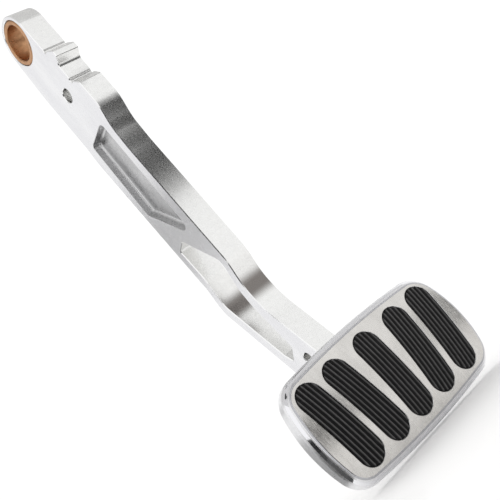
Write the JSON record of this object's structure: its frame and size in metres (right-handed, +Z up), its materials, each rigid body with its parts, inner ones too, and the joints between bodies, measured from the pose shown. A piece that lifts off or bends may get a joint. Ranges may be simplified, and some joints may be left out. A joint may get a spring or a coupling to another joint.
{
  "type": "vehicle foot pedal",
  "caption": "Hanging foot pedal: billet plate arm on a bronze pivot bush with a curved, tilting foot pad and ribbed rubber inserts.",
  "frame": {"origin": "centre of the pivot bore, at the middle of the arm's thickness", "axes": "+X along the pivot towards the side that the foot pad overhangs, +Z up with the arm hanging down, -Y towards the driver's foot"},
  "size_m": [0.1148, 0.059, 0.3054],
  "materials": {
    "arm_aluminium": "fine machined and brushed",
    "pad_aluminium": "brushed face, polished bevel",
    "bronze": "turned sintered bronze",
    "rubber": "moulded, ribbed",
    "hardware_steel": "zinc plated"
  },
  "bodies": {
    "arm": {"pedal_arm": "arm_aluminium", "pivot_bushing": "bronze", "tilt_bushing": "bronze"},
    "pad": {"pad_plate": "pad_aluminium", "rubber_insert_1": "rubber", "rubber_insert_2": "rubber", "rubber_insert_3": "rubber", "rubber_insert_4": "rubber", "rubber_insert_5": "rubber", "pad_back_plate": "pad_aluminium", "back_plate_screws": "hardware_steel", "thrust_washers": "bronze", "tilt_bolt": "hardware_steel", "bolt_washers": "hardware_steel", "lock_nut": "hardware_steel"}
  },
  "joints": [
    {"name": "pad_tilt", "type": "hinge", "parent": "arm", "child": "pad", "pos_m": [0, -0.0134, -0.2516], "axis": [1, 0, 0], "range_deg": [-6, 12]}
  ]
}
